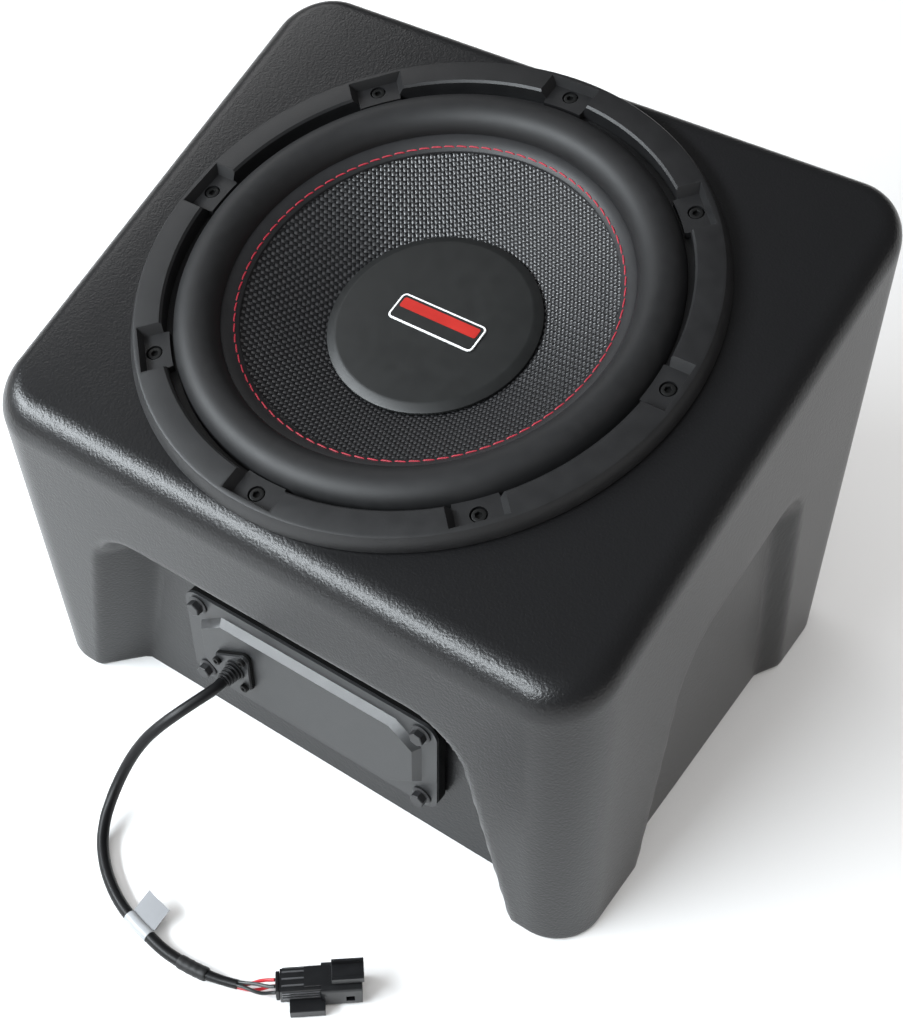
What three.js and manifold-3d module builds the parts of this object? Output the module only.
// Powered car subwoofer: a moulded wedge-shaped box with a 12 inch driver on its sloping top,
// and an amplifier behind a cover plate in a recess of its front wall.
// Millimetres, +Z up. The origin is at the centre of the box's footprint, on the floor.
// The front wall, with the amplifier, faces -Y, and the right wall faces +X.
import * as THREE from 'three';
import { mergeVertices } from 'three/addons/utils/BufferGeometryUtils.js';
import Module from 'manifold-3d';

const wasm = await Module();
wasm.setup();

// ---- Driving dimensions -------------------------------------------------------------------
const GAP = 0.3; // between pieces that touch

// box
const TILT = THREE.MathUtils.degToRad(17.12); // slope of the top, rising towards the back
const DRIVER_Y = -3.55; // centre of the screw circle
const DRIVER_Z = 265.8;
const BAFFLE_DROP = 4.6; // the top's surface below the screw seats
const BAFFLE_THICK = 17;
const WALL = 5;
// splay: the left wall runs outwards towards the back
const FOOT = { left: -179.7, right: 207.9, front: -158, back: 154, radius: 28.5, splay: 0.07 };
const TOP = { left: -183.9, right: 204, front: -166.7, back: 163.7, radius: 34, splay: 0.07 };
const EDGE_RADIUS = 16; // round of the top edge
const FOOT_ROUND = 3.5;
const FOOT_STEPS = 3;
const ARCH_GROWTH = 2.6; // how much wider the inside sees an arch, per mm of wall

// arched recesses between the four feet: half widths low down and at the crown, the crown's height
// and slope, the arch's corner radius, the width of the rounded band round it, and its depth
const FRONT_ARCH = { centre: 13, low: 157, high: 121, crown: 152, slope: 0, radius: 30, band: 24 };
const SIDE_ARCH = { centre: 1, low: 91, high: 62, crown: 172, slope: 0.214, radius: 30, band: 19 };
const BACK_ARCH = { centre: 0, low: 128, high: 96, crown: 190, slope: 0, radius: 34, band: 19 };
const RAMP_ROUND = 0.16; // share of a recess's slope that is rounded at each end
const FRONT_WALL = -133; // the front recess's floor
const SHALLOW = 9; // depth of the side and back recesses

// driver, in its own frame: z along its axis, z = 0 at the screw seats
const SCREWS = 8;
const SCREW_CIRCLE = 148;
const SCREW_HOLE = 2.7; // radius of the driver screws' holes
const RING = { outerLow: 161.3, outerHigh: 158.4, inner: 142.2, low: -4.3, high: 5.4 };
const POCKET = { halfWidth: 12, flare: 4.5, reach: 154.5, tab: 139.1 };
const SEAT = { radius: 155, floor: -12 }; // rebate in the top that the driver's flange sits in
const CUTOUT_RADIUS = 141;
const LIP = { outer: 144.5, low: -6.3, high: -4.7 }; // the surround's edge, under the ring
const FLANGE = { radius: 154, low: -9.6, high: -6.6 };
const ROLL = { centre: 125.6, z: -6.2, outer: 12.9, inner: 10.9 };
const CONE = { edge: 110, edgeZ: -8.6, neck: 32.2, slope: 0.548, thick: 1.4 };
const BAND = { inner: 103.5, thick: 1.2, gap: 0.4 }; // the surround's stitched band on the cone
const CAP = { flat: 55.4, rim: 60.4, top: -31.4, edge: -33.6, thick: 1.5 };
const BADGE = { x: 3, y: -1, width: 56, height: 18, corner: 3, thick: 0.6 };
const FORMER = { inner: 31.2, outer: 31.8, high: -47, low: -112 };
const COIL = { inner: 32.1, outer: 33.2, high: -86, low: -110 };
const SPIDER = { inner: 32.1, outer: 66, z: -70, rolls: 3, swing: 2.2, thick: 1 };
const MOTOR = { top: -94, topThick: 10, magnetThick: 22, backThick: 12, radius: 78, pole: 30.6 };
const SPOKES = 6;

// amplifier: cover plate and its bolts, on the recess wall
const PLATE = { left: -67.5, right: 108.5, low: 36.5, high: 108.5, corner: 9, thick: 2 };
const BOLTS = { left: -57.5, right: 98.5, low: 44.5, high: 100.5 };
const PRESSED = { rise: 4.2, slope: 3.6, notchX: 17, notchZ: 13 };
const CHASSIS = { flange: 5.6, left: -40, right: 81, low: 51, high: 94, back: -88, wall: 2.5 };
const GASKET_THICK = 1.5;
const BOLT_HOLE = 2.7; // radius of the amplifier bolts' holes
const GASKET_FRONT = FRONT_WALL - GAP - GASKET_THICK;
const CHASSIS_FRONT = GASKET_FRONT - GAP - CHASSIS.flange;
const PLATE_BACK = CHASSIS_FRONT - GAP;
const PLATE_FRONT = PLATE_BACK - PLATE.thick;
const PRESSED_FRONT = PLATE_FRONT - PRESSED.rise;

// cable gland, on the pressed face of the plate
const GLAND = { x: -26.5, z: 72.5, circle: 12.9, corner: 3.4, screws: 3 };
const BOOT_LENGTH = 10.4;

// cord: radii, and the way it lies from the gland's boot to the plug
const CABLE_RADIUS = 3.35;
const SLEEVE_RADIUS = 3.9;
const TAIL_RADIUS = 2.4;
const WIRE_RADIUS = 0.85;
const BUNDLE_RADIUS = 1.6; // of the four wires' middles where they leave the sheath
const LABEL_WALL = 0.5;
const ROUTE = [
  [-26.5, -162.5, 72.5],
  [-26.8, -168, 72.2],
  [-30.3, -176.6, 69.9],
  [-36.5, -187.7, 64.6],
  [-43.4, -196.7, 56.9],
  [-49.9, -204.3, 47.4],
  [-54.7, -211.6, 36.8],
  [-57.4, -219.8, 26],
  [-57.5, -229.5, 16.3],
  [-54.3, -240.6, 8.9],
  [-47.1, -251.4, 4.9],
  [-36.9, -260.5, 4],
  [-25.4, -267.9, 4],
  [-12.9, -273.7, 4],
  [0.3, -277.6, 4],
  [13.9, -279.9, 4],
  [27.4, -281.6, 4],
  [41.1, -281.2, 4],
  [54.7, -279.3, 4.1],
  [68.2, -275.8, 4.6],
  [80.6, -271.3, 6.2],
  [91.7, -265.1, 9.4],
];
// stations along the route, in mm from the boot
const STATIONS = { labelStart: 178, labelEnd: 196, cableEnd: 219, sleeveEnd: 236.5, tailEnd: 254.5 };

// wires inside the box, from the amplifier to the driver's terminals
const SPEAKER_WIRE = [
  [10, -84.5, 80],
  [10, -76, 88],
  [8, -80, 112],
  [4, -86, 140],
  [0, -80, 165],
  [0, -74.6, 176.5],
];

// plug on the cord's end: x runs forward from its rear, y to its left, z up from the floor
const PLUG = { x: 92.1, y: -264.85, angle: THREE.MathUtils.degToRad(39.4), floor: 0.2 };
const SOCKET = { start: 27.5, end: 45, half: 8.75, height: 17.5, wall: 1.7, web: 2.5 };
const PLUG_REAR = { start: 2.3, half: 6.8, low: 3.2, high: 16.2 };
const PIN = { radius: 0.75, length: 11, spreadY: 1.9, spreadZ: 3.3 };

// ---- Materials ----------------------------------------------------------------------------
const finish = (color, roughness, metalness = 0) =>
  new THREE.MeshStandardMaterial({ color, roughness, metalness });
const MATERIAL = {
  moulded: finish(0x1d1e20, 0.55),
  ring: finish(0x1b1c1e, 0.6),
  rubber: finish(0x161718, 0.5),
  cloth: finish(0x3a3b3d, 0.7),
  cap: finish(0x2b2d2d, 0.6),
  badge: finish(0xb3261e, 0.4),
  spider: finish(0xb79a62, 0.8),
  coated: finish(0x2b2c2e, 0.5, 0.3),
  foam: finish(0x0e0e0f, 0.95),
  steel: finish(0x3c3e40, 0.35, 0.9),
  bright: finish(0xb9bcc0, 0.35, 1),
  ferrite: finish(0x2a2a2c, 0.8, 0.2),
  cast: finish(0x222325, 0.55, 0.4),
  copper: finish(0xb4713d, 0.35, 1),
  board: finish(0x1f5b34, 0.6),
  sleeve: finish(0x24303a, 0.4),
  cable: finish(0x141516, 0.4),
  nylon: finish(0x1c1d1f, 0.42),
  label: finish(0xd6d8da, 0.4),
  red: finish(0xc3161c, 0.4),
  black: finish(0x17181a, 0.4),
};

// ---- Solids -------------------------------------------------------------------------------
function weld(geometry) {
  const bare = geometry.clone();
  bare.deleteAttribute('normal');
  bare.deleteAttribute('uv');
  const merged = mergeVertices(bare, 1e-4);
  const kept = [];
  const index = merged.index.array;
  for (let i = 0; i < index.length; i += 3) {
    const [a, b, c] = [index[i], index[i + 1], index[i + 2]];
    if (a !== b && b !== c && c !== a) kept.push(a, b, c);
  }
  merged.setIndex(kept);
  if (signedVolume(merged) < 0) flip(merged);
  return merged;
}

function signedVolume(geometry) {
  const [a, b, c] = [new THREE.Vector3(), new THREE.Vector3(), new THREE.Vector3()];
  const { position } = geometry.attributes;
  let volume = 0;
  for (let i = 0; i < geometry.index.count; i += 3) {
    a.fromBufferAttribute(position, geometry.index.getX(i));
    b.fromBufferAttribute(position, geometry.index.getX(i + 1));
    c.fromBufferAttribute(position, geometry.index.getX(i + 2));
    volume += a.dot(b.cross(c));
  }
  return volume;
}

function flip(geometry) {
  const index = geometry.index.array;
  for (let i = 0; i < index.length; i += 3) {
    [index[i], index[i + 1]] = [index[i + 1], index[i]];
  }
}

function solid(geometry) {
  const closed = weld(geometry);
  const mesh = new wasm.Mesh({
    numProp: 3,
    vertProperties: new Float32Array(closed.attributes.position.array),
    triVerts: new Uint32Array(closed.index.array),
  });
  return new wasm.Manifold(mesh);
}

function surfaceOf(body) {
  const { vertProperties, triVerts } = body.getMesh();
  const geometry = new THREE.BufferGeometry();
  geometry.setAttribute('position', new THREE.BufferAttribute(vertProperties, 3));
  geometry.setIndex(Array.from(triVerts));
  return geometry;
}

const cut = (base, ...tools) =>
  surfaceOf(tools.reduce((body, tool) => body.subtract(solid(tool)), solid(base)));
const join = (base, ...others) =>
  surfaceOf(others.reduce((body, other) => body.add(solid(other)), solid(base)));

// A body turned about z from [radius, z] corners; the outline closes on itself.
function turned(corners, segments = 32) {
  const points = corners.map(([radius, z]) => new THREE.Vector2(radius, z));
  points.push(points[0].clone());
  return new THREE.LatheGeometry(points, segments).rotateX(Math.PI / 2);
}

const tube = (inner, outer, low, high, segments = 28) =>
  turned([[inner, low], [outer, low], [outer, high], [inner, high]], segments);

const rod = (radius, low, high, segments = 16) =>
  new THREE.CylinderGeometry(radius, radius, high - low, segments)
    .rotateX(Math.PI / 2)
    .translate(0, 0, (low + high) / 2);

const block = (x0, x1, y0, y1, z0, z1) =>
  new THREE.BoxGeometry(x1 - x0, y1 - y0, z1 - z0)
    .translate((x0 + x1) / 2, (y0 + y1) / 2, (z0 + z1) / 2);

// A plate in the XZ plane from y = back to y = front (front is the more negative).
function slab(shape, back, front, curveSegments = 5) {
  return new THREE.ExtrudeGeometry(shape, { depth: back - front, bevelEnabled: false, curveSegments })
    .rotateX(Math.PI / 2)
    .translate(0, back, 0);
}

function roundedRectangle(x0, x1, z0, z1, radius) {
  const shape = new THREE.Shape();
  shape.moveTo(x0 + radius, z0);
  shape.lineTo(x1 - radius, z0);
  shape.absarc(x1 - radius, z0 + radius, radius, -Math.PI / 2, 0);
  shape.lineTo(x1, z1 - radius);
  shape.absarc(x1 - radius, z1 - radius, radius, 0, Math.PI / 2);
  shape.lineTo(x0 + radius, z1);
  shape.absarc(x0 + radius, z1 - radius, radius, Math.PI / 2, Math.PI);
  shape.lineTo(x0, z0 + radius);
  shape.absarc(x0 + radius, z0 + radius, radius, Math.PI, 1.5 * Math.PI);
  return shape;
}

// A round section swept along points. An arc gets two points for each of its curve segments.
function swept(points, radius, { sides = 8, steps = 40, bore = 0 } = {}) {
  const section = new THREE.Shape();
  section.absarc(0, 0, radius, 0, 2 * Math.PI);
  if (bore > 0) section.holes.push(new THREE.Path().absarc(0, 0, bore, 0, 2 * Math.PI, true));
  const path = new THREE.CatmullRomCurve3(points.map((p) => new THREE.Vector3(...p)));
  return new THREE.ExtrudeGeometry(section, {
    steps,
    curveSegments: sides / 2,
    bevelEnabled: false,
    extrudePath: path,
  });
}

// ---- The assembly -------------------------------------------------------------------------
const subwoofer = new THREE.Group();
const driver = new THREE.Group();
driver.position.set(0, DRIVER_Y, DRIVER_Z);
driver.rotation.x = TILT;
subwoofer.add(driver);

function piece(parent, name, geometry, material) {
  const mesh = new THREE.Mesh(weld(geometry), material);
  mesh.geometry.computeVertexNormals();
  mesh.name = name;
  parent.add(mesh);
  return mesh;
}

const inDriverFrame = (geometry) =>
  geometry.rotateX(TILT).translate(0, DRIVER_Y, DRIVER_Z);

// ---- Enclosure ----------------------------------------------------------------------------
const topHeight = (y) =>
  DRIVER_Z - BAFFLE_DROP / Math.cos(TILT) + (y - DRIVER_Y) * Math.tan(TILT);

const mix = THREE.MathUtils.lerp;

// A straight slope from 0 to 1 whose two ends are rounded off.
function ramp(share) {
  const value = THREE.MathUtils.clamp(share, 0, 1);
  const scale = 2 * RAMP_ROUND * (1 - RAMP_ROUND);
  if (value < RAMP_ROUND) return value ** 2 / scale;
  if (value > 1 - RAMP_ROUND) return 1 - (1 - value) ** 2 / scale;
  return (value - RAMP_ROUND / 2) / (1 - RAMP_ROUND);
}

// How far a point of a wall is sunk into its recess: 0 outside the arch, 1 on the recess's floor.
// The inside of the box sees each arch larger by grow, so that the wall never gets thin.
function sunk(arch, along, height, grow) {
  const crown = arch.crown + arch.slope * along + grow;
  const halfWidth = mix(arch.low, arch.high, THREE.MathUtils.clamp(height / crown, 0, 1)) + grow;
  const side = halfWidth - Math.abs(along - arch.centre);
  const top = crown - height;
  const { radius } = arch;
  const inCorner = side < radius && top < radius;
  const depth = inCorner ? radius - Math.hypot(radius - side, radius - top) : Math.min(side, top);
  return ramp(depth / arch.band);
}

// Points round the box at one level, from foot (level 0) to top (level 1), inset all round.
function outline(level, inset, cornerSteps, wallSteps) {
  const value = (key) => mix(FOOT[key], TOP[key], level);
  const [front, back] = [value('front') + inset, value('back') - inset];
  const right = value('right') - inset;
  const leftAt = (y) => value('left') - value('splay') * (y - value('front')) + inset;
  const radius = value('radius') - inset;
  const corners = [
    [leftAt(front) + radius, front + radius, Math.PI],
    [right - radius, front + radius, 1.5 * Math.PI],
    [right - radius, back - radius, 0],
    [leftAt(back) + radius, back - radius, 0.5 * Math.PI],
  ];
  const arcs = corners.map(([x, y, start]) =>
    Array.from({ length: cornerSteps + 1 }, (_, i) => {
      const angle = start + (i / cornerSteps) * 0.5 * Math.PI;
      return [x + radius * Math.cos(angle), y + radius * Math.sin(angle)];
    }),
  );
  const points = [];
  arcs.forEach((arc, k) => {
    points.push(...arc);
    const from = arc[arc.length - 1];
    const to = arcs[(k + 1) % 4][0];
    const steps = wallSteps[k];
    for (let i = 1; i < steps; i += 1) {
      const share = 0.5 - 0.5 * Math.cos((Math.PI * i) / steps);
      points.push([mix(from[0], to[0], share), mix(from[1], to[1], share)]);
    }
  });
  return points;
}

function sinkIntoRecesses(x, y, z, shrink) {
  const grow = shrink * ARCH_GROWTH;
  const frontFloor = FRONT_WALL + shrink;
  const front = y < 0 ? sunk(FRONT_ARCH, x, z, grow) * Math.max(0, frontFloor - y) : 0;
  const side = Math.abs(x) > 120 ? sunk(SIDE_ARCH, y, z, grow) * SHALLOW * Math.sign(x) : 0;
  const back = y > 120 ? sunk(BACK_ARCH, x, z, grow) * SHALLOW : 0;
  return [x - side, y + front - back, z];
}

// The outside of the box, or its inside when shrunk by the wall's thickness.
function boxSurface({ shrink, roof, levels, roundSteps, cornerSteps, wallSteps }) {
  const rows = [];
  const edge = EDGE_RADIUS - shrink;
  const footRound = Math.max(FOOT_ROUND - shrink, 1);
  const wallFoot = shrink + footRound;
  const wallTop = (y) => topHeight(y) - roof / Math.cos(TILT) - edge;
  const addRow = (level, inset, heightAt) => {
    const around = outline(level, shrink + inset, cornerSteps, wallSteps);
    rows.push(around.map(([x, y]) => sinkIntoRecesses(x, y, heightAt(y), shrink)));
  };
  for (let i = 0; i < FOOT_STEPS; i += 1) {
    const angle = (i / FOOT_STEPS) * 0.5 * Math.PI;
    addRow(0, footRound * (1 - Math.sin(angle)), () => wallFoot - footRound * Math.cos(angle));
  }
  for (const level of levels) addRow(level, 0, (y) => mix(wallFoot, wallTop(y), level));
  for (let i = 1; i <= roundSteps; i += 1) {
    const angle = (i / roundSteps) * 0.5 * Math.PI;
    addRow(1, edge * (1 - Math.cos(angle)), (y) => wallTop(y) + edge * Math.sin(angle));
  }
  return closedRows(rows);
}

// Joins rows of points, each a closed loop, into one surface with a fan at each end.
function closedRows(rows) {
  const count = rows[0].length;
  const middle = (row) => [0, 0, row.reduce((sum, p) => sum + p[2], 0) / count];
  const points = [...rows.flat(), middle(rows[0]), middle(rows[rows.length - 1])];
  const index = [];
  for (let r = 0; r + 1 < rows.length; r += 1) {
    for (let i = 0; i < count; i += 1) {
      const next = (i + 1) % count;
      const [a, b] = [r * count + i, r * count + next];
      const [c, d] = [a + count, b + count];
      index.push(a, b, d, a, d, c);
    }
  }
  const [low, high] = [points.length - 2, points.length - 1];
  const last = (rows.length - 1) * count;
  for (let i = 0; i < count; i += 1) {
    const next = (i + 1) % count;
    index.push(low, next, i, high, last + i, last + next);
  }
  const geometry = new THREE.BufferGeometry();
  geometry.setAttribute('position', new THREE.Float32BufferAttribute(points.flat(), 3));
  geometry.setIndex(index);
  return geometry;
}

const screwAngles = Array.from({ length: SCREWS }, (_, i) => (i * 2 * Math.PI) / SCREWS);
const atScrew = (geometry, angle) =>
  geometry.translate(SCREW_CIRCLE * Math.cos(angle), SCREW_CIRCLE * Math.sin(angle), 0);
const screwHoles = (radius, low, high) =>
  screwAngles.map((angle) => atScrew(rod(radius, low, high, 8), angle));

const boltPlaces = [
  [BOLTS.left, BOLTS.high],
  [BOLTS.right, BOLTS.high],
  [BOLTS.left, BOLTS.low],
  [BOLTS.right, BOLTS.low],
];

// A rod along -Y, from y = back to y = front.
const rodOut = (radius, back, front, x, z, segments = 12) =>
  rod(radius, -back, -front, segments).rotateX(Math.PI / 2).translate(x, 0, z);
const boltHoles = (radius, back, front) =>
  boltPlaces.map(([x, z]) => rodOut(radius, back, front, x, z, 8));

function enclosureShell() {
  const outside = boxSurface({
    shrink: 0,
    roof: 0,
    levels: [0, 0.2, 0.4, 0.5, 0.57, 0.63, 0.69, 0.75, 0.81, 0.9, 1],
    roundSteps: 3,
    cornerSteps: 5,
    wallSteps: [18, 12, 10, 12],
  });
  const inside = boxSurface({
    shrink: WALL,
    roof: BAFFLE_THICK,
    levels: [0, 0.35, 0.55, 0.68, 0.82, 1],
    roundSteps: 2,
    cornerSteps: 3,
    wallSteps: [10, 6, 4, 6],
  });
  const amplifierCutout = block(
    CHASSIS.left - 2, CHASSIS.right + 2, -150, -110, CHASSIS.low - 2, CHASSIS.high + 2,
  );
  return cut(
    outside,
    inside,
    inDriverFrame(rod(SEAT.radius, SEAT.floor, 20, 48)),
    inDriverFrame(rod(CUTOUT_RADIUS, -40, 0, 48)),
    amplifierCutout,
    ...boltHoles(BOLT_HOLE, -120, -140),
    ...screwHoles(SCREW_HOLE, -40, 0).map(inDriverFrame),
  );
}

piece(subwoofer, 'enclosure_shell', enclosureShell(), MATERIAL.moulded);

// ---- Driver: parts that stay still --------------------------------------------------------
const coneTop = (radius) => CONE.edgeZ - CONE.slope * (CONE.edge - radius);

function driverGasket() {
  const ring = tube(CUTOUT_RADIUS + 1, FLANGE.radius, SEAT.floor + GAP, FLANGE.low - GAP, 36);
  return cut(ring, ...screwHoles(SCREW_HOLE, -20, 0));
}

// A cast basket: the flange, a bowl with windows between its spokes, a ledge for the spider,
// and a seat for the motor.
function basket() {
  const bowl = turned([
    [139, FLANGE.high],
    [FLANGE.radius, FLANGE.high],
    [FLANGE.radius, FLANGE.low],
    [138, FLANGE.low],
    [128, -44],
    [100, -76],
    [74, -80],
    [74, -93.7],
    [36, -93.7],
    [36, -90.5],
    [70.5, -90.5],
    [70.5, -72.5],
    [62, -72.5],
    [62, -70.8],
    [98, -70.8],
    [125, -41],
    [134.6, FLANGE.low + 1],
  ]);
  const windows = Array.from({ length: SPOKES }, (_, i) => {
    const shape = new THREE.Shape();
    const [from, to] = [0.2, (2 * Math.PI) / SPOKES - 0.2];
    shape.absarc(0, 0, 160, from, to, false);
    shape.absarc(0, 0, 82, to - 0.06, from + 0.06, true);
    return new THREE.ExtrudeGeometry(shape, { depth: 72, bevelEnabled: false, curveSegments: 3 })
      .translate(0, 0, -85)
      .rotateZ((i * 2 * Math.PI) / SPOKES);
  });
  return cut(bowl, ...windows, ...screwHoles(SCREW_HOLE, -20, 0));
}

// A wedge-sided pocket round each screw, open towards the middle, with a tab as its floor.
function trimRing() {
  const { outerLow, outerHigh, inner, low, high } = RING;
  const body = turned([
    [inner, low],
    [LIP.outer + 1, low],
    [LIP.outer + 1, LIP.low],
    [FLANGE.radius, LIP.low],
    [FLANGE.radius, low],
    [outerLow, low],
    [outerLow, low + 3],
    [outerHigh, high - 1.2],
    [outerHigh - 1.6, high],
    [inner + 1.2, high],
    [inner, high - 1.2],
  ], 40);
  const tab = (angle) =>
    block(POCKET.tab, inner + 2, -POCKET.halfWidth, POCKET.halfWidth, low, 0).rotateZ(angle);
  const pocket = (angle) => {
    const rise = high + 1;
    const mouth = POCKET.halfWidth + POCKET.flare;
    const shape = new THREE.Shape();
    shape.moveTo(-POCKET.halfWidth, 0);
    shape.lineTo(POCKET.halfWidth, 0);
    shape.lineTo(mouth, rise);
    shape.lineTo(-mouth, rise);
    const depth = POCKET.reach - POCKET.tab + 4;
    return new THREE.ExtrudeGeometry(shape, { depth, bevelEnabled: false })
      .rotateX(Math.PI / 2)
      .rotateZ(Math.PI / 2)
      .translate(POCKET.tab - 4, 0, 0)
      .rotateZ(angle);
  };
  return cut(
    join(body, ...screwAngles.map(tab)),
    ...screwAngles.map(pocket),
    ...screwHoles(4.3, -3.6, 3),
    ...screwHoles(SCREW_HOLE, -10, 3),
  );
}

function driverScrew(angle) {
  const head = rod(3.9, -3.3, 1.2, 10);
  const shank = rod(2.4, -24, -3.2, 6);
  const socket = rod(2, -1.6, 2, 6);
  return atScrew(cut(join(head, shank), socket), angle);
}

// Half roll of rubber, with a lip under the ring and a stitched band on the cone.
function surround() {
  const arc = (radius, from, to, steps) =>
    Array.from({ length: steps + 1 }, (_, i) => {
      const angle = mix(from, to, i / steps);
      return [ROLL.centre + radius * Math.cos(angle), ROLL.z + radius * Math.sin(angle)];
    });
  const bandLow = (radius) => coneTop(radius) + BAND.gap;
  return turned([
    [LIP.outer, LIP.high],
    ...arc(ROLL.outer, 0.12, Math.PI, 7),
    [ROLL.centre - ROLL.outer - 0.8, bandLow(ROLL.centre - ROLL.outer - 0.8) + BAND.thick],
    [BAND.inner, bandLow(BAND.inner) + BAND.thick],
    [BAND.inner, bandLow(BAND.inner)],
    [CONE.edge, bandLow(CONE.edge)],
    [ROLL.centre - ROLL.inner - 0.6, ROLL.z - 1],
    ...arc(ROLL.inner, Math.PI, 0.1, 6),
    [ROLL.centre + ROLL.outer - 1, LIP.low],
    [LIP.outer, LIP.low],
  ], 32);
}

// Corrugated cloth disc between the coil's former and the basket's ledge.
function spider() {
  const { inner, outer, z, rolls, swing, thick } = SPIDER;
  const steps = rolls * 4;
  const line = Array.from({ length: steps + 1 }, (_, i) => {
    const share = i / steps;
    return [mix(inner + 2, outer - 6, share), z + thick + swing * Math.sin(share * rolls * 2 * Math.PI)];
  });
  const top = line.map(([radius, height]) => [radius, height + thick]);
  return turned([
    [inner, z + thick],
    ...line,
    [outer, z - 0.4],
    [outer, z + 0.6],
    ...top.reverse(),
    [inner, z + 2 * thick],
  ], 24);
}

const terminalAngles = [-0.16, 0.16].map((offset) => -Math.PI / 2 + offset);
const polar = (radius, angle, z) => [radius * Math.cos(angle), radius * Math.sin(angle), z];
const inDriver = (parts) =>
  Object.entries(parts).forEach(([name, [geometry, material]]) =>
    piece(driver, name, geometry, material));

const magnetTop = MOTOR.top - MOTOR.topThick - GAP;
const magnetLow = magnetTop - MOTOR.magnetThick;
const motorLow = magnetLow - GAP - MOTOR.backThick;

inDriver({
  driver_gasket: [driverGasket(), MATERIAL.foam],
  driver_basket: [basket(), MATERIAL.cast],
  trim_ring: [trimRing(), MATERIAL.ring],
  surround: [surround(), MATERIAL.rubber],
  spider: [spider(), MATERIAL.spider],
  motor_top_plate: [tube(34, 76, MOTOR.top - MOTOR.topThick, MOTOR.top), MATERIAL.bright],
  magnet: [tube(38, MOTOR.radius, magnetLow, magnetTop), MATERIAL.ferrite],
  motor_back_plate: [
    turned([
      [10, motorLow],
      [76, motorLow],
      [76, magnetLow - GAP],
      [MOTOR.pole, magnetLow - GAP],
      [MOTOR.pole, MOTOR.top + 2],
      [10, MOTOR.top + 2],
    ]),
    MATERIAL.bright,
  ],
  magnet_boot: [
    turned([
      [MOTOR.radius + 0.4, MOTOR.top - 6],
      [MOTOR.radius + 3, MOTOR.top - 6],
      [MOTOR.radius + 3, motorLow - 3],
      [60, motorLow - 3],
      [60, motorLow - 0.4],
      [MOTOR.radius + 0.4, motorLow - 0.4],
    ]),
    MATERIAL.rubber,
  ],
});

screwAngles.forEach((angle, i) =>
  piece(driver, `driver_screw_${i + 1}`, driverScrew(angle), MATERIAL.steel));

terminalAngles.forEach((angle, i) => {
  const sign = ['positive', 'negative'][i];
  const post = block(-9, 0, -4, 4, -4, 4).rotateZ(angle).translate(...polar(100, angle, -88));
  piece(driver, `terminal_${sign}`, post, MATERIAL.copper);
  const lead = [
    polar(41, angle, coneTop(41) - 2.8),
    polar(52, angle, -57),
    polar(66, angle, -55),
    polar(80, angle, -60),
    polar(86, angle, -68.5),
  ];
  piece(driver, `tinsel_lead_${sign}`, swept(lead, 1, { steps: 7 }), MATERIAL.copper);
});

// ---- Driver: the moving assembly ----------------------------------------------------------
function cone() {
  const { edge, neck, thick } = CONE;
  return turned([
    [edge, coneTop(edge)],
    [neck, coneTop(neck)],
    [neck, coneTop(neck) - thick],
    [edge, coneTop(edge) - thick],
  ]);
}

function dustCap() {
  const { flat, rim, top, edge, thick } = CAP;
  const points = [
    [0, top],
    [flat, top],
    [rim, edge],
    [rim, edge - 1.8],
    [rim - 1.5, edge - 1.8],
    [flat - 0.6, top - thick],
    [0, top - thick],
  ].map(([radius, z]) => new THREE.Vector2(radius, z));
  return new THREE.LatheGeometry(points, 36).rotateX(Math.PI / 2);
}

function capBadge() {
  const { x, y, width, height, corner, thick } = BADGE;
  const shape = roundedRectangle(x - width / 2, x + width / 2, y - height / 2, y + height / 2, corner);
  return new THREE.ExtrudeGeometry(shape, { depth: thick, bevelEnabled: false, curveSegments: 4 })
    .translate(0, 0, CAP.top + GAP);
}

inDriver({
  cone: [cone(), MATERIAL.cloth],
  dust_cap: [dustCap(), MATERIAL.cap],
  dust_cap_badge: [capBadge(), MATERIAL.badge],
  voice_coil_former: [tube(FORMER.inner, FORMER.outer, FORMER.low, FORMER.high), MATERIAL.bright],
  voice_coil: [tube(COIL.inner, COIL.outer, COIL.low, COIL.high), MATERIAL.copper],
});

// ---- Amplifier ----------------------------------------------------------------------------
const plateOutline = (margin = 0) =>
  roundedRectangle(
    PLATE.left + margin, PLATE.right - margin, PLATE.low + margin, PLATE.high - margin,
    PLATE.corner - margin,
  );
const chassisOpening = (margin) =>
  block(
    CHASSIS.left + margin, CHASSIS.right - margin, -160, -100,
    CHASSIS.low + margin, CHASSIS.high - margin,
  );

// The pressed field's outline: a rectangle through the bolts, cut back round each of them.
function pressedOutline(inset) {
  const { notchX, notchZ } = PRESSED;
  const [x0, x1] = [BOLTS.left + inset, BOLTS.right - inset];
  const [z0, z1] = [BOLTS.low + inset, BOLTS.high - inset];
  const [dx, dz] = [notchX - inset / 2, notchZ - inset / 2];
  const corners = [
    [x0 + dx, z0], [x1 - dx, z0], [x1, z0 + dz], [x1, z1 - dz],
    [x1 - dx, z1], [x0 + dx, z1], [x0, z1 - dz], [x0, z0 + dz],
  ];
  return corners;
}

// A block with the pressed field's outline, sloping in from y = low to y = high.
function pressedBlock(insetLow, insetHigh, low, high) {
  const rows = [[insetHigh, high], [insetLow, low]];
  const [front, back] = rows.map(([inset, y]) => pressedOutline(inset).map(([x, z]) => [x, y, z]));
  const points = [...back, ...front];
  const count = back.length;
  const index = [];
  for (let i = 1; i + 1 < count; i += 1) {
    index.push(0, i, i + 1, count, count + i + 1, count + i);
  }
  for (let i = 0; i < count; i += 1) {
    const next = (i + 1) % count;
    index.push(i, count + i, count + next, i, count + next, next);
  }
  const geometry = new THREE.BufferGeometry();
  geometry.setAttribute('position', new THREE.Float32BufferAttribute(points.flat(), 3));
  geometry.setIndex(index);
  return geometry;
}

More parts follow.
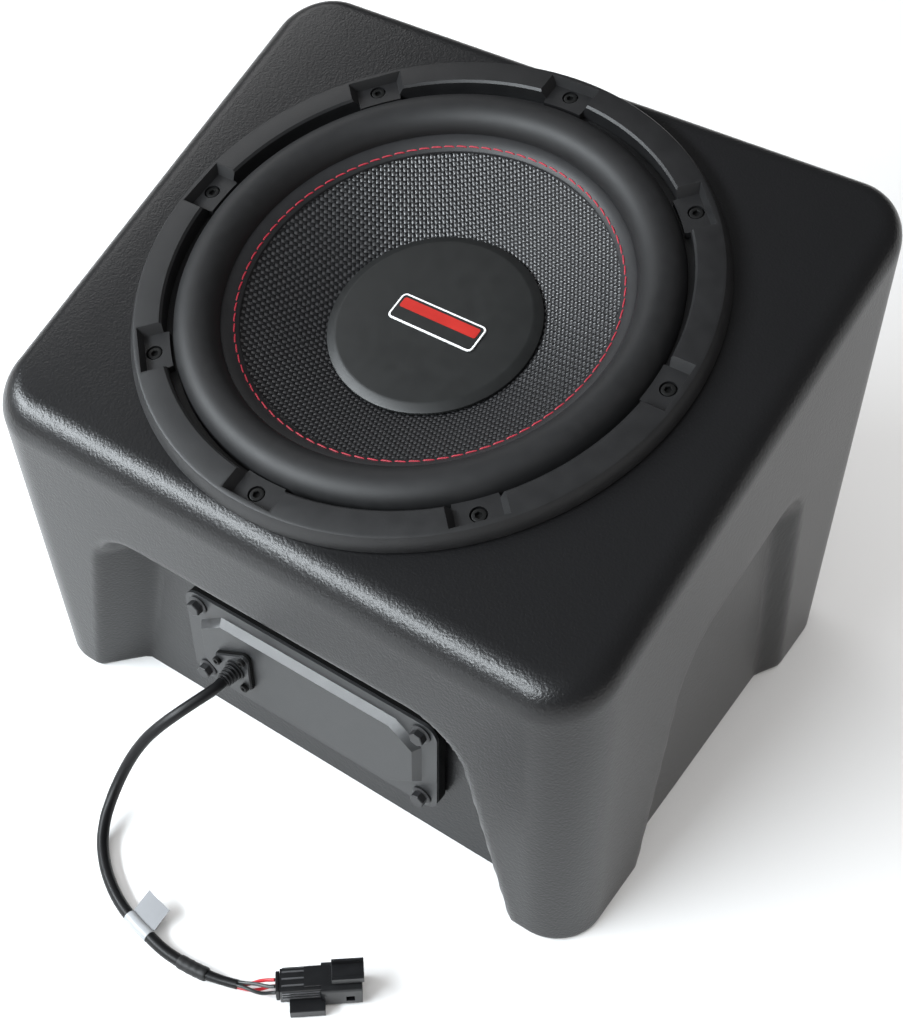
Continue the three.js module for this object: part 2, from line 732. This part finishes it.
function coverPlate() {
  const field = pressedBlock(0, PRESSED.slope, PLATE_FRONT + 0.1, PRESSED_FRONT);
  const hollow = pressedBlock(1.6, PRESSED.slope + 1.6, PLATE_BACK + 0.1, PRESSED_FRONT + PLATE.thick);
  return cut(
    join(slab(plateOutline(), PLATE_BACK, PLATE_FRONT), field),
    hollow,
    ...boltHoles(BOLT_HOLE, -120, -160),
    rodOut(5.4, -120, -160, GLAND.x, GLAND.z, 16),
    ...glandScrewPlaces.map(([x, z]) => rodOut(1.6, -120, -160, x, z, 8)),
  );
}

const glandScrewPlaces = Array.from({ length: GLAND.screws }, (_, i) => {
  const angle = Math.PI + (i * 2 * Math.PI) / GLAND.screws;
  return [GLAND.x + GLAND.circle * Math.cos(angle), GLAND.z + GLAND.circle * Math.sin(angle)];
});

// Flange and tray of the amplifier's chassis: the tray reaches in through the box's cut-out.
function amplifierChassis() {
  const { left, right, low, high, back, wall } = CHASSIS;
  const tray = block(left, right, CHASSIS_FRONT + 1, back, low, high);
  const inside = block(left + wall, right - wall, -160, back - wall, low + wall, high - wall);
  const flange = slab(plateOutline(), GASKET_FRONT - GAP, CHASSIS_FRONT);
  return cut(join(flange, tray), inside, ...boltHoles(BOLT_HOLE, -120, -160));
}

function amplifierBolt([x, z]) {
  const seat = PLATE_FRONT - GAP;
  const flange = rodOut(6.1, seat, seat - 1.4, x, z, 12);
  const hex = rodOut(4.62, seat - 1.3, seat - 5.4, x, z, 6);
  const shank = rodOut(2.4, -121, seat - 0.1, x, z, 6);
  return join(flange, hex, shank);
}

piece(
  subwoofer,
  'amp_gasket',
  cut(
    slab(plateOutline(1), FRONT_WALL - GAP, GASKET_FRONT),
    chassisOpening(-3),
    ...boltHoles(BOLT_HOLE, -120, -160),
  ),
  MATERIAL.foam,
);
piece(subwoofer, 'amp_chassis', amplifierChassis(), MATERIAL.cast);
piece(subwoofer, 'amp_cover_plate', coverPlate(), MATERIAL.coated);
boltPlaces.forEach((place, i) =>
  piece(subwoofer, `amp_bolt_${i + 1}`, amplifierBolt(place), MATERIAL.steel));

const BOARD = { y: -101, thick: 1.6, margin: 4 };
const { left: trayLeft, right: trayRight, low: trayLow, high: trayHigh } = CHASSIS;
piece(
  subwoofer,
  'amp_circuit_board',
  block(
    trayLeft + BOARD.margin, trayRight - BOARD.margin, BOARD.y - BOARD.thick, BOARD.y,
    trayLow + BOARD.margin, trayHigh - BOARD.margin,
  ),
  MATERIAL.board,
);
const onBoard = BOARD.y - BOARD.thick - GAP;
[26, 46].forEach((x, i) =>
  piece(
    subwoofer, `amp_capacitor_${i + 1}`, rodOut(8, onBoard, onBoard - 24, x, 72.5, 16), MATERIAL.sleeve,
  ));
piece(
  subwoofer,
  'amp_inductor',
  tube(5, 11, 0, 9, 20).rotateX(Math.PI / 2).translate(66, onBoard, 72.5),
  MATERIAL.copper,
);
piece(
  subwoofer,
  'speaker_wire_pair',
  swept(SPEAKER_WIRE, 1.6, {
    steps: 16,
  }),
  MATERIAL.red,
);

// ---- Cable gland --------------------------------------------------------------------------
function glandOutline(margin) {
  const shape = new THREE.Shape();
  const reach = GLAND.corner + margin;
  for (let i = 0; i < GLAND.screws; i += 1) {
    const angle = Math.PI + (i * 2 * Math.PI) / GLAND.screws;
    const [x, z] = [GLAND.x + GLAND.circle * Math.cos(angle), GLAND.z + GLAND.circle * Math.sin(angle)];
    shape.absarc(x, z, reach, angle - Math.PI / 3, angle + Math.PI / 3, false);
  }
  return shape;
}

const GLAND_GASKET = { back: PRESSED_FRONT - GAP, front: PRESSED_FRONT - GAP - 1.4 };
const GLAND_FLANGE = { back: GLAND_GASKET.front - GAP, front: GLAND_GASKET.front - GAP - 2 };
const BOOT_BACK = GLAND_FLANGE.front - GAP;
const BOOT_FRONT = BOOT_BACK - BOOT_LENGTH;
const glandHoles = glandScrewPlaces.map(([x, z]) => rodOut(1.6, -130, -160, x, z, 8));
const glandBore = rodOut(4.2, -130, -165, GLAND.x, GLAND.z, 16);

piece(
  subwoofer,
  'gland_gasket',
  cut(slab(glandOutline(0.4), GLAND_GASKET.back, GLAND_GASKET.front), glandBore, ...glandHoles),
  MATERIAL.foam,
);
piece(
  subwoofer,
  'gland_flange',
  cut(slab(glandOutline(0), GLAND_FLANGE.back, GLAND_FLANGE.front), glandBore, ...glandHoles),
  MATERIAL.coated,
);
glandScrewPlaces.forEach(([x, z], i) => {
  const seat = GLAND_FLANGE.front - GAP;
  const head = rodOut(2.7, seat, seat - 2.2, x, z, 12);
  const shank = rodOut(1.3, PRESSED_FRONT + 4, seat - 0.1, x, z, 8);
  const socket = rodOut(1.3, seat - 1, seat - 4, x, z, 6);
  piece(subwoofer, `gland_screw_${i + 1}`, cut(join(head, shank), socket), MATERIAL.steel);
});

// A ribbed rubber boot that tapers to the cable.
function glandBoot() {
  const ribs = 4;
  const pitch = BOOT_LENGTH / ribs;
  const outside = [];
  for (let i = 0; i < ribs; i += 1) {
    const radius = mix(5.8, 4.7, i / (ribs - 1));
    const start = i * pitch;
    outside.push([radius, start], [radius, start + pitch * 0.6], [radius - 1, start + pitch * 0.65]);
    outside.push([radius - 1, start + pitch * 0.95]);
  }
  outside.push([4.1, BOOT_LENGTH]);
  return turned([[1.5, 0], ...outside, [1.5, BOOT_LENGTH]], 14)
    .rotateX(Math.PI / 2)
    .translate(GLAND.x, BOOT_BACK, GLAND.z);
}
piece(subwoofer, 'gland_boot', glandBoot(), MATERIAL.rubber);

// ---- Cord ---------------------------------------------------------------------------------
const route = new THREE.CatmullRomCurve3(ROUTE.map((point) => new THREE.Vector3(...point)));
const routeLength = route.getLength();

// Points of the route between two stations, clear of what lies before and after by a gap.
function stretch(from, to, count) {
  return Array.from({ length: count }, (_, i) => {
    const station = mix(from + GAP / 2, to - GAP / 2, i / (count - 1));
    return route.getPointAt(station / routeLength).toArray();
  });
}

const { labelStart, labelEnd, cableEnd, sleeveEnd, tailEnd } = STATIONS;
piece(
  subwoofer, 'cable', swept(stretch(0, cableEnd, 30), CABLE_RADIUS, { steps: 32 }), MATERIAL.cable,
);
piece(
  subwoofer,
  'cable_label',
  swept(stretch(labelStart, labelEnd, 6), CABLE_RADIUS + GAP + LABEL_WALL, {
    steps: 4,
    bore: CABLE_RADIUS + GAP,
  }),
  MATERIAL.label,
);
piece(
  subwoofer,
  'heat_shrink',
  swept(stretch(cableEnd, sleeveEnd, 6), SLEEVE_RADIUS, { steps: 4 }),
  MATERIAL.cable,
);
piece(
  subwoofer, 'sheath_tail', swept(stretch(sleeveEnd, tailEnd, 6), TAIL_RADIUS, { steps: 4 }), MATERIAL.cable,
);

// ---- Plug ---------------------------------------------------------------------------------
const plug = new THREE.Group();
plug.position.set(PLUG.x, PLUG.y, PLUG.floor);
plug.rotation.z = PLUG.angle;
subwoofer.add(plug);

const plugMiddle = (PLUG_REAR.low + PLUG_REAR.high) / 2;
// A body along the plug's x with a rounded rectangular section.
function bar(x0, x1, y0, y1, z0, z1, corner) {
  const shape = roundedRectangle(y0, y1, z0, z1, corner);
  return new THREE.ExtrudeGeometry(shape, { depth: x1 - x0, bevelEnabled: false, curveSegments: 3 })
    .rotateX(Math.PI / 2)
    .rotateZ(Math.PI / 2)
    .translate(x0, 0, 0);
}

function plugHousing() {
  const { start, end, half, height, wall, web } = SOCKET;
  const { half: rearHalf, low, high } = PLUG_REAR;
  const rear = bar(PLUG_REAR.start, start, -rearHalf, rearHalf, low, high, 1.6);
  const step = bar(15, start, -rearHalf + 1.4, rearHalf - 0.6, high - 1, high + 1.4, 0.6);
  const keyBlock = bar(7, start - 2, -14, -rearHalf + 1, 0.4, 6.8, 0.8);
  const collar = bar(start - 3.6, start + 1, -half, half, 0, height, 3.2);
  const socket = bar(start, end, -half, half, 0, height, 3.2);
  const ledge = bar(start + 1, end, -5.4, 5.4, height - 1, height + 0.8, 0.4);
  const cavity = bar(start + web, end + 1, -half + wall, half - wall, wall, height - wall, 2);
  const side = block(end - 8.5, end - 4, -half - 1, -half + wall + 1, 5.2, 9.7);
  const pinHoles = pinPlaces.map(([y, z]) => pinRod(PIN.radius + GAP, start - 6, start + web + 1, y, z));
  return cut(join(rear, step, keyBlock, collar, socket, ledge), cavity, side, ...pinHoles);
}

const pinPlaces = [
  [PIN.spreadY, plugMiddle + PIN.spreadZ],
  [-PIN.spreadY, plugMiddle + PIN.spreadZ],
  [PIN.spreadY, plugMiddle - PIN.spreadZ],
  [-PIN.spreadY, plugMiddle - PIN.spreadZ],
];
const pinRod = (radius, from, to, y, z) => rod(radius, from, to, 8).rotateY(Math.PI / 2).translate(0, y, z);

// U-shaped rail on the socket's top that the mating plug's latch slides into
function plugRail() {
  const { start, end, height } = SOCKET;
  const low = height + 0.8 + GAP;
  const rail = block(start + 2, end + 1.4, -6, 6, low, low + 4.4);
  const slot = block(start, end + 3, -4.5, 4.5, low + 1.2, low + 6);
  const notch = block(end - 1.6, end + 3, 3, 8, low + 1.2, low + 2.9);
  return cut(rail, slot, notch);
}

piece(
  plug,
  'connector_rear_seal',
  bar(0, PLUG_REAR.start - GAP, -5.9, 5.9, PLUG_REAR.low + 0.9, PLUG_REAR.high - 0.9, 1.4),
  MATERIAL.rubber,
);
piece(plug, 'connector_housing', plugHousing(), MATERIAL.nylon);
piece(plug, 'connector_rail', plugRail(), MATERIAL.nylon);
pinPlaces.forEach(([y, z], i) => {
  const from = SOCKET.start - 5;
  piece(plug, `contact_pin_${i + 1}`, pinRod(PIN.radius, from, from + PIN.length, y, z), MATERIAL.bright);
});

// ---- Wires between the cord's sheath and the plug -----------------------------------------
// The four wires make a quarter turn about each other while they spread to their contacts.
pinPlaces.forEach(([y, z], i) => {
  const left = new THREE.Vector3(-Math.sin(PLUG.angle), Math.cos(PLUG.angle), 0);
  const reach = Math.hypot(y, z - plugMiddle);
  const end = Math.atan2(z - plugMiddle, y);
  const start = Math.atan2(Math.sign(z - plugMiddle), Math.sign(y)) - 0.5 * Math.PI;
  const points = [0, 0.12, 0.3, 0.5, 0.7, 0.88, 1].map((share) => {
    const ease = THREE.MathUtils.smoothstep(share, 0.05, 0.95);
    const spread = mix(BUNDLE_RADIUS, reach, ease);
    const turn = mix(start, end, ease);
    const station = mix(tailEnd + 4 * GAP, routeLength, share);
    const point = route.getPointAt(station / routeLength);
    point.addScaledVector(left, spread * Math.cos(turn));
    point.z += spread * Math.sin(turn);
    return point.toArray();
  });
  const insulation = i % 2 === 0 ? MATERIAL.red : MATERIAL.black;
  piece(subwoofer, `wire_${i + 1}`, swept(points, WIRE_RADIUS, { steps: 9 }), insulation);
});

export default subwoofer;
